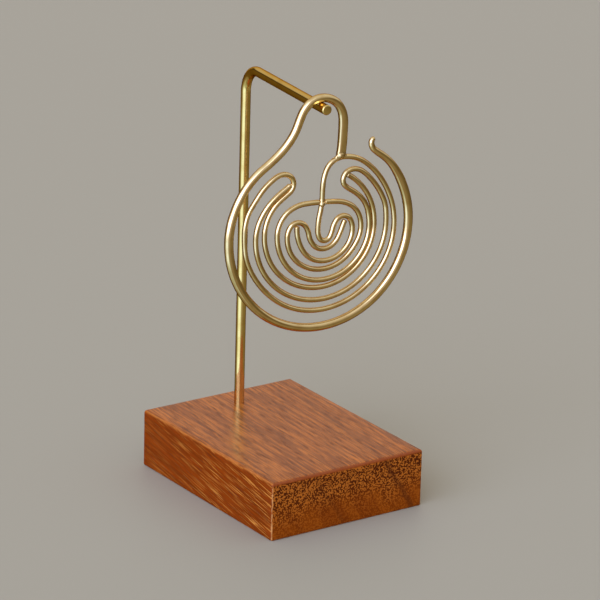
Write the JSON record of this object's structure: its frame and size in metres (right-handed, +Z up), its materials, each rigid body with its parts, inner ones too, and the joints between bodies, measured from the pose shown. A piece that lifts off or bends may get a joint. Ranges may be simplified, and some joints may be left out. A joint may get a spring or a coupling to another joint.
{
  "type": "labyrinth ornament on stand",
  "caption": "Wire labyrinth ornament with an integral hook, hung from the arm of a bent brass rod that stands in a hardwood block.",
  "frame": {"origin": "centre of the block's underside, on the surface it stands on", "axes": "+Z up; +X and +Y along the block's short and long sides; the arm reaches towards -Y"},
  "size_m": [0.0637, 0.074, 0.1364],
  "materials": {
    "oiled_hardwood": "satin oiled",
    "rod_brass": "polished",
    "ornament_bronze": "polished, lightly hammered",
    "solder": "smooth"
  },
  "bodies": {
    "stand": {"base_block": "oiled_hardwood", "stand_rod": "rod_brass"},
    "ornament": {"hook_ring": "ornament_bronze", "stem_wire": "ornament_bronze", "inner_wire": "ornament_bronze", "outer_wire": "ornament_bronze", "crossing_solder": "solder", "hanger_solder": "solder", "right_tip_solder": "solder", "left_tip_solder": "solder"}
  },
  "joints": [
    {"name": "ornament_swing", "type": "hinge", "parent": "stand", "child": "ornament", "pos_m": [-0.00414, -0.02269, 0.132], "axis": [-0.1115, -0.9938, 0], "range_deg": [-45, 45]}
  ]
}
